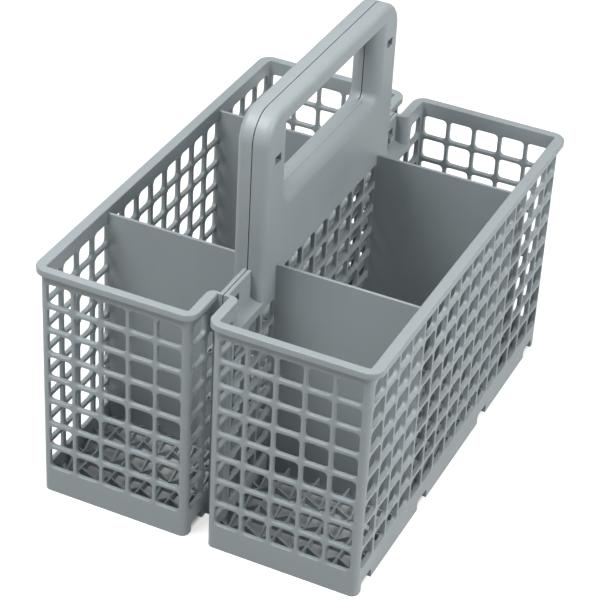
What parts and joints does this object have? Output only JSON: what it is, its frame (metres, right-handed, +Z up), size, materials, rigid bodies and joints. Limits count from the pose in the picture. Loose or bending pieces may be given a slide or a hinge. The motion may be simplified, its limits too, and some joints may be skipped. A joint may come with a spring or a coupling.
{
  "type": "dishwasher cutlery basket",
  "caption": "Grey moulded dishwasher cutlery basket: two latticed halves with plain dividers and open ribbed floors, snapped together under one tall carrying handle.",
  "frame": {"origin": "on the floor under the middle of the basket, on the parting plane between the halves", "axes": "+Z up, +Y along the handle towards the back end, +X across to the right half"},
  "size_m": [0.174, 0.24, 0.2083],
  "materials": {
    "grey_plastic": "satin moulded plastic"
  },
  "bodies": {
    "root": {"right_half": "grey_plastic", "left_half": "grey_plastic"}
  },
  "joints": []
}
